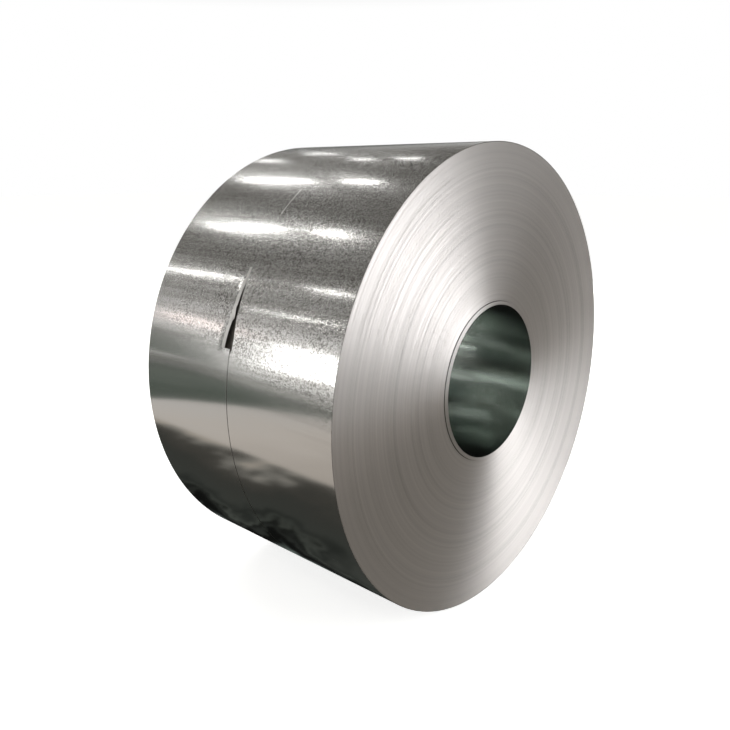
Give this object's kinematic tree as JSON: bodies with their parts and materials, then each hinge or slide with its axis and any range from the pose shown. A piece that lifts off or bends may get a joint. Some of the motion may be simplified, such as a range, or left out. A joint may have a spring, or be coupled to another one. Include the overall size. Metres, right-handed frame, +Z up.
{
  "type": "steel coil",
  "caption": "Coil of bright galvanised sheet steel lying on its side, with an open bore, turns showing on its ends and a fine slit round the outer wrap.",
  "frame": {"origin": "on the axis of the bore, at the middle of the strip's width", "axes": "+Y along the axis of the bore, away from the end with the proud inner turns; +Z up"},
  "size_m": [1.8397, 1.0103, 1.8387],
  "materials": {
    "galvanised_sheet": "bright galvanised, small spangle"
  },
  "bodies": {
    "root": {"steel_coil": "galvanised_sheet"}
  },
  "joints": []
}
